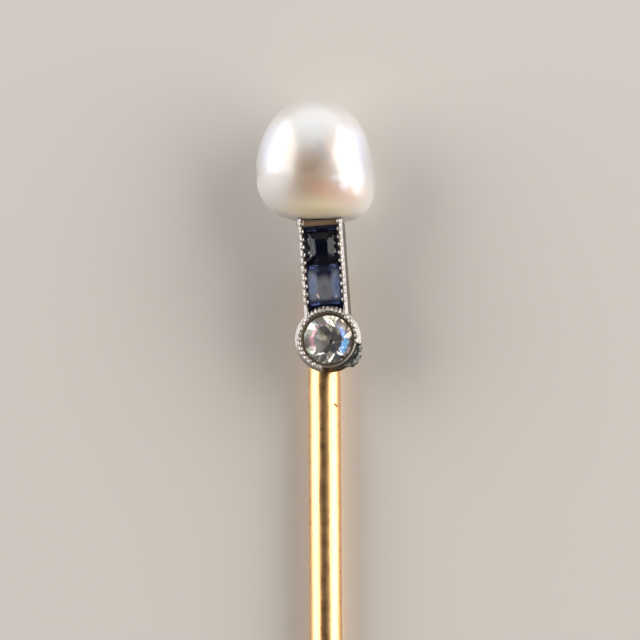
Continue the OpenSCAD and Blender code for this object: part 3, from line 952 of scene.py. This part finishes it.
def gold_material(looks):
    """Gold of 15 carat, drawn to wire, polished and worn: warm yellow, with soft clouds where wear has dulled
    it and with lines along it. The lines are drawn wider than real ones, which wouldn't show."""
    material, tree, output = new_material("gold_drawn_wire")
    where = add_node(tree, "ShaderNodeTexCoord").outputs["Object"]
    lines = add_node(tree, "ShaderNodeMapping", {"Vector": where, "Scale": (1, 0.04, 1)}).outputs[0]
    drawn = add_node(tree, "ShaderNodeTexNoise", {
        "Vector": lines, "Scale": 1 / (0.06 * MM), "Detail": 4.0}).outputs["Fac"]
    cloud = add_node(tree, "ShaderNodeTexNoise", {
        "Vector": where, "Scale": 1 / (0.5 * MM), "Detail": 3.0}).outputs["Fac"]
    colour = (*looks.gold, 1)
    # Dark spots painted at the nick
    for across, along, reach in STEM_NICK:
        centre = (across * MM, BEZEL.y - along * MM, 2 * STEM_RADIUS)
        spot = patch(tree, where, centre, (reach * MM, reach * MM, STEM_RADIUS))
        colour = mix_colour(tree, spot, colour, (*looks.nick, 1))
    roughness = add_node(tree, "ShaderNodeMapRange", {
        "Value": cloud, "From Min": 0.3, "From Max": 0.7, "To Min": 0.24, "To Max": 0.36}).outputs[0]
    bump = add_node(tree, "ShaderNodeBump", {"Strength": 0.5, "Distance": 0.003 * MM, "Height": drawn})
    shader = add_node(tree, "ShaderNodeBsdfPrincipled", {
        "Base Color": colour, "Metallic": 1.0, "Roughness": roughness, "Normal": bump.outputs[0]})
    tree.links.new(shader.outputs[0], output.inputs["Surface"])
    return material


# Stage

# The two soft lights stand left and right of the head: x and y are where the middle stands and z its height,
# long and high are the panel's size, all in millimetres, and lean lifts its end by the pearl, in degrees
# x, y, z, long, high, lean
SOFTBOXES = [
    (-200, 100, 120, 290, 300, 18),
    (200, 70, 114, 350, 274, 27),
]
# Tints of a softbox from its foot to its top: cool low down, and warm where its lamp shines past its cloth
# place, linear colour
SOFTBOX_TINTS = [
    (0.0, (0.72, 0.84, 1.0)),
    (0.35, (1.0, 1.0, 1.0)),
    (0.9, (1.0, 0.99, 0.97)),
    (1.0, (1.0, 0.72, 0.45)),
]
# Half the width of the floor, in metres
FLOOR_HALF = 3.0
# The room's light is a little warm
ROOM_TINT = (1, 0.96, 0.92)


def acrylic_material(looks):
    """Acrylic sheet, cast and satin-rubbed: an even pale ground that glows a little towards low light."""
    material, tree, output = new_material("acrylic_satin")
    shader = add_node(tree, "ShaderNodeBsdfPrincipled", {
        "Base Color": (*looks.floor, 1), "Roughness": 0.22, "IOR": 1.49})
    tree.links.new(shader.outputs[0], output.inputs["Surface"])
    return material


def build_floor(looks):
    """A large flat floor under the pin."""
    corners = [(x * FLOOR_HALF, y * FLOOR_HALF, 0) for x, y in ((-1, -1), (1, -1), (1, 1), (-1, 1))]
    floor = mesh_object("floor", corners, [(0, 1, 2, 3)], smooth=False)
    floor.data.materials.append(acrylic_material(looks))


def build_softboxes(looks):
    """Two softboxes, which the camera doesn't see."""
    for x, y, z, long, high, lean in SOFTBOXES:
        light = bpy.data.lights.new("softbox", "AREA")
        light.shape = "RECTANGLE"
        light.size, light.size_y = long * MM, high * MM
        light.energy = looks.light * math.pi * light.size * light.size_y
        light.use_nodes = True
        glow = light.node_tree
        place = add_node(glow, "ShaderNodeNewGeometry").outputs["Parametric"]
        height = add_node(glow, "ShaderNodeSeparateXYZ", {0: place}).outputs["Y"]
        tint = add_node(glow, "ShaderNodeValToRGB", {"Fac": height}, stops=SOFTBOX_TINTS).outputs[0]
        glow.links.new(tint, glow.nodes["Emission"].inputs["Color"])
        lamp = bpy.data.objects.new("softbox", light)
        to_middle = Matrix.Rotation(math.copysign(math.radians(90), x), 4, "Z")
        upright = to_middle @ Matrix.Rotation(math.radians(90), 4, "X")
        lifted = Matrix.Rotation(math.radians(lean), 4, "X")
        stand = Matrix.Translation(Vector((x, y + BEZEL.y / MM, z)) * MM)
        lamp.matrix_world = stand @ lifted @ upright
        lamp.visible_camera = False
        bpy.context.scene.collection.objects.link(lamp)


def build_room(looks):
    """A dim room round the softboxes: its walls glow near the horizon, most past the pearl, the right lamp
    spills light on it, and it is darkest overhead."""
    world = bpy.data.worlds.new("dim_room")
    world.use_nodes = True
    tree = world.node_tree
    tree.nodes.clear()
    way = add_node(tree, "ShaderNodeTexCoord").outputs["Generated"]
    way = add_node(tree, "ShaderNodeSeparateXYZ", {0: way}).outputs
    amount = 0.0
    # The part of the way that each glow follows, where the glow starts and ends, and its brightness at both
    for part, start, end, first, last, kind in (
            ("Z", 0.2, 0.62, looks.walls, looks.ceiling, "SMOOTHSTEP"),
            ("Z", 0.9, 0.99, 0, -0.5 * looks.ceiling, "SMOOTHSTEP"),
            ("Y", 0.7, 1.0, 0, looks.far_wall, "SMOOTHSTEP"),
            ("X", 0.0, 0.6, 0, looks.spill, "LINEAR")):
        glow = add_node(tree, "ShaderNodeMapRange", {
            "Value": way[part], "From Min": start, "From Max": end, "To Min": first, "To Max": last},
            interpolation_type=kind).outputs[0]
        amount = add_node(tree, "ShaderNodeMath", {0: amount, 1: glow}, operation="ADD").outputs[0]
    sky = add_node(tree, "ShaderNodeBackground", {"Color": (*ROOM_TINT, 1), "Strength": amount}).outputs[0]
    add_node(tree, "ShaderNodeOutputWorld", {"Surface": sky})
    bpy.context.scene.world = world


# The middle of the bezel's face in the photograph, and the middle of the photograph, in pixels
BEZEL_PIXEL = (327.8, 339.0)
PICTURE_MIDDLE = (320.0, 320.0)
PICTURE_PIXELS = 640


def build_camera(looks):
    """The camera at the photograph's angle, high above the floor."""
    face = Vector((BEZEL.x, BEZEL.y, FACE_Z))
    back = Vector((math.tan(looks.side), -math.tan(looks.tilt), 1)).normalized()
    right = Vector((0, 1, 0)).cross(back).normalized()
    up = back.cross(right)
    cos, sin = math.cos(looks.roll), math.sin(looks.roll)
    right, up = right * cos - up * sin, up * cos + right * sin
    pixel = looks.view_width / PICTURE_PIXELS
    aim = face + right * (PICTURE_MIDDLE[0] - BEZEL_PIXEL[0]) * pixel
    aim += up * (BEZEL_PIXEL[1] - PICTURE_MIDDLE[1]) * pixel
    data = bpy.data.cameras.new("camera")
    data.sensor_width = 36
    data.lens = data.sensor_width * looks.distance / looks.view_width
    data.clip_start, data.clip_end = 0.01, 10
    camera = bpy.data.objects.new("camera", data)
    bpy.context.scene.collection.objects.link(camera)
    place = Matrix((right, up, back)).transposed().to_4x4()
    place.translation = aim + back * looks.distance
    camera.matrix_world = place
    bpy.context.scene.camera = camera


def set_colours():
    """Plain display colours, and enough bounces for light to find its way out of the stones."""
    scene = bpy.context.scene
    scene.view_settings.view_transform = "Standard"
    scene.cycles.max_bounces = 24
    scene.cycles.transmission_bounces = 20
    scene.cycles.glossy_bounces = 12


# Operators, one for each piece or group of like pieces, and one for the stage

class STICKPIN_OT_pearl(bpy.types.Operator):
    """Build the pearl and its nacre"""
    bl_idname = "stickpin.pearl"
    bl_label = "Pearl"

    def execute(self, context):
        looks = context.scene.stickpin_pearl
        stand_for(build_pearl(looks), "pearl", nacre_material(looks))
        return {"FINISHED"}


class STICKPIN_OT_setting(bpy.types.Operator):
    """Build the platinum setting with its beads, wear and solder"""
    bl_idname = "stickpin.setting"
    bl_label = "Setting"

    def execute(self, context):
        looks = context.scene.stickpin_setting
        stand_for(build_setting(looks), "setting", platinum_material(looks))
        return {"FINISHED"}


class STICKPIN_OT_stones(bpy.types.Operator):
    """Build the two sapphires and the diamond"""
    bl_idname = "stickpin.stones"
    bl_label = "Stones"

    def execute(self, context):
        looks = context.scene.stickpin_stones
        dark = sapphire_material(
            "sapphire_dark_step_cut", looks.dark, looks.dark_density, roughness=0.1, gloss=0.4)
        blue = sapphire_material(
            "sapphire_blue_step_cut", looks.blue, looks.blue_density, roughness=0.2, gloss=0.3)
        diamond = diamond_material(looks)
        add_scatter_and_painted_light(dark, "sapphire_upper", UPPER_PAINTED_GLINTS)
        add_scatter_and_painted_light(blue, "sapphire_lower", LOWER_SAPPHIRE_SCUFFS_AND_PAINTED_LIGHT)
        add_scatter_and_painted_light(diamond, "diamond", DIAMOND_RUBS_AND_PAINTED_HIGHLIGHTS)
        stand_for(build_cut_stone("sapphire_upper", "upper_stone", UPPER_RUB), "sapphire_upper", dark)
        stand_for(build_cut_stone("sapphire_lower", "lower_stone", LOWER_RUB), "sapphire_lower", blue)
        stand_for(build_diamond(), "diamond", diamond)
        return {"FINISHED"}


class STICKPIN_OT_stem(bpy.types.Operator):
    """Build the gold stem"""
    bl_idname = "stickpin.stem"
    bl_label = "Stem"

    def execute(self, context):
        looks = context.scene.stickpin_stem
        stand_for(build_stem(looks), "stem", gold_material(looks))
        return {"FINISHED"}


class STICKPIN_OT_stage(bpy.types.Operator):
    """Set the floor, the lights and the camera"""
    bl_idname = "stickpin.stage"
    bl_label = "Stage"

    def execute(self, context):
        looks = context.scene.stickpin_stage
        build_camera(looks)
        build_floor(looks)
        build_softboxes(looks)
        build_room(looks)
        set_colours()
        return {"FINISHED"}


class STICKPIN_PT_sidebar(bpy.types.Panel):
    """Lists the pieces of the stick pin"""
    bl_idname = "STICKPIN_PT_sidebar"
    bl_label = "Stick Pin"
    bl_space_type = "VIEW_3D"
    bl_region_type = "UI"
    bl_category = "Stick Pin"

    def draw(self, context):
        for operator, _ in PIECES:
            self.layout.operator(operator.bl_idname)


# Each operator with the properties that it reads and their name in the scene
PIECES = [
    (STICKPIN_OT_stage, ("stickpin_stage", StageLooks)),
    (STICKPIN_OT_pearl, ("stickpin_pearl", PearlLooks)),
    (STICKPIN_OT_setting, ("stickpin_setting", SettingLooks)),
    (STICKPIN_OT_stones, ("stickpin_stones", StoneLooks)),
    (STICKPIN_OT_stem, ("stickpin_stem", StemLooks)),
]


def register():
    """Adds the properties, the operators and the panel."""
    for operator, (name, group) in PIECES:
        bpy.utils.register_class(group)
        bpy.utils.register_class(operator)
        setattr(bpy.types.Scene, name, bpy.props.PointerProperty(type=group))
    bpy.utils.register_class(STICKPIN_PT_sidebar)


def unregister():
    """Takes away what register added."""
    bpy.utils.unregister_class(STICKPIN_PT_sidebar)
    for operator, (name, group) in reversed(PIECES):
        delattr(bpy.types.Scene, name)
        bpy.utils.unregister_class(operator)
        bpy.utils.unregister_class(group)


def main():
    """Builds every piece in order."""
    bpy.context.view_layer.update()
    register()
    bpy.ops.stickpin.stage()
    bpy.ops.stickpin.pearl()
    bpy.ops.stickpin.setting()
    bpy.ops.stickpin.stones()
    bpy.ops.stickpin.stem()


if __name__ == "__main__":
    main()
